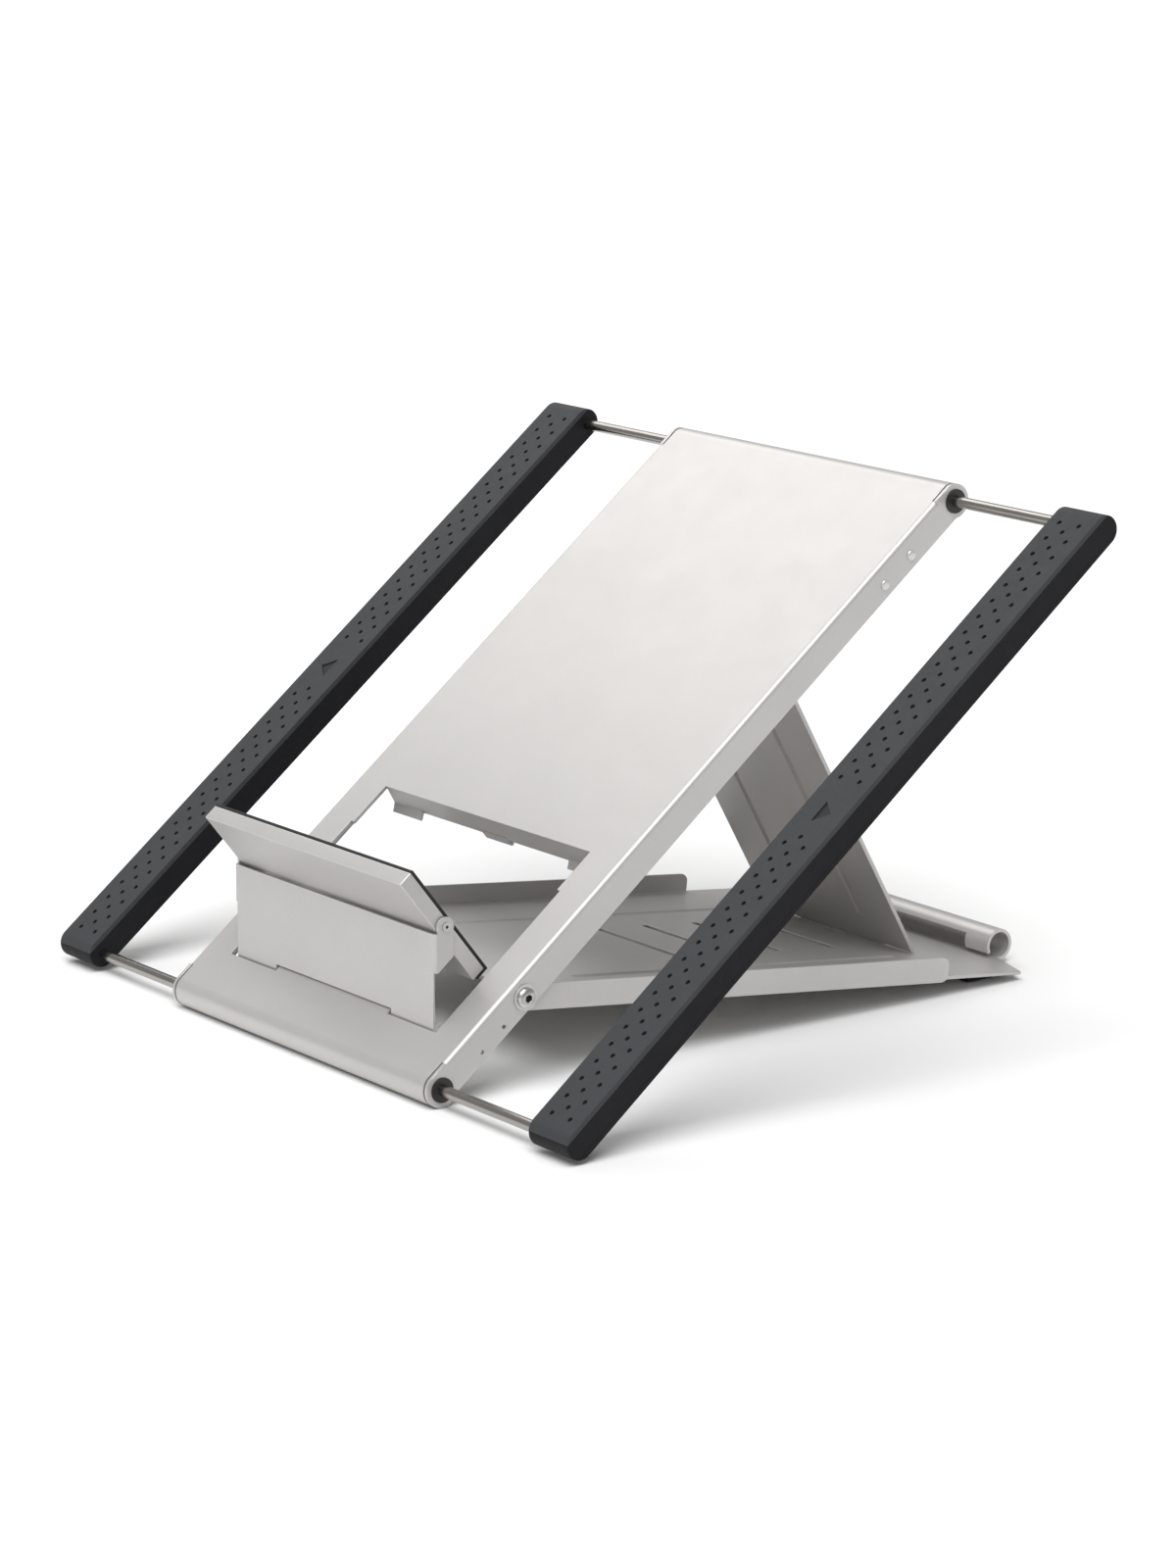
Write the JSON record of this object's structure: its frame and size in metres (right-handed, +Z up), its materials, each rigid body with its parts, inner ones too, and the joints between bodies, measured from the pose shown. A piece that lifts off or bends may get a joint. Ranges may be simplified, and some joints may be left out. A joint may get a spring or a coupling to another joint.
{
  "type": "folding laptop stand",
  "caption": "Folding desk stand for a laptop: sloped metal tray on a hinged base and prop leg, with sliding side arms on rods and a tilting front stop.",
  "frame": {"origin": "on the desk, on the stand's middle plane, halfway between its front and rear ends", "axes": "+X across the stand to the user's right, +Y away from the user towards the raised end, +Z up"},
  "size_m": [0.3038, 0.2734, 0.182],
  "materials": {
    "silver_paint": "pale silver satin paint with fine sparkle",
    "zinc_steel": "zinc-plated steel",
    "bright_rod": "ground steel rod",
    "charcoal_plastic": "fine matte moulded",
    "grey_rubber": "matte with small dimples",
    "black_rubber": "matte",
    "black_plastic": "matte"
  },
  "bodies": {
    "base": {"base_plate": "silver_paint", "base_feet": "black_rubber", "hinge_screws": "zinc_steel", "hinge_washers": "zinc_steel", "hinge_spacers": "black_plastic", "hinge_nuts": "zinc_steel"},
    "tray": {"tray_plate": "silver_paint", "rod_bushings": "black_plastic", "flange_rivets": "silver_paint", "leg_brackets": "zinc_steel", "bracket_rivets": "zinc_steel", "leg_hinge_pin": "zinc_steel", "stop_hinge_pin": "zinc_steel"},
    "leg": {"leg_plate": "silver_paint"},
    "arm_left": {"left_arm_body": "charcoal_plastic", "left_arm_cover": "charcoal_plastic", "left_arm_grip": "grey_rubber", "left_arm_screws": "zinc_steel", "left_front_rod": "bright_rod", "left_rear_rod": "bright_rod", "left_rod_collars": "zinc_steel"},
    "arm_right": {"right_arm_body": "charcoal_plastic", "right_arm_cover": "charcoal_plastic", "right_arm_grip": "grey_rubber", "right_arm_screws": "zinc_steel", "right_front_rod": "bright_rod", "right_rear_rod": "bright_rod", "right_rod_collars": "zinc_steel"},
    "stop": {"stop_plate": "silver_paint"},
    "panel": {"stop_panel": "silver_paint", "stop_pad": "black_rubber", "stop_pivot_screws": "zinc_steel"}
  },
  "joints": [
    {"name": "tray_tilt", "type": "hinge", "parent": "base", "child": "tray", "pos_m": [0, -0.09727, 0.03142], "axis": [1, 0, 0], "range_deg": [0, 33]},
    {"name": "leg_fold", "type": "hinge", "parent": "tray", "child": "leg", "pos_m": [0, 0.02897, 0.13458], "axis": [1, 0, 0], "range_deg": [-75.95, 0]},
    {"name": "arm_left_slide", "type": "slide", "parent": "tray", "child": "arm_left", "axis": [-1, 0, 0], "range_m": [-0.0525, 0.002]},
    {"name": "arm_right_slide", "type": "slide", "parent": "tray", "child": "arm_right", "axis": [1, 0, 0], "range_m": [-0.0525, 0.002]},
    {"name": "stop_fold", "type": "hinge", "parent": "tray", "child": "stop", "pos_m": [0, -0.11954, 0.02026], "axis": [1, 0, 0], "range_deg": [-51.8, 0]},
    {"name": "panel_tilt", "type": "hinge", "parent": "stop", "child": "panel", "pos_m": [0, -0.11674, 0.05476], "axis": [1, 0, 0], "range_deg": [-38.25, 0]}
  ],
  "couplings": [
    {"joint": "leg_fold", "follows": "tray_tilt", "ratio": -2.3},
    {"joint": "panel_tilt", "follows": "stop_fold", "ratio": 0.73745}
  ]
}
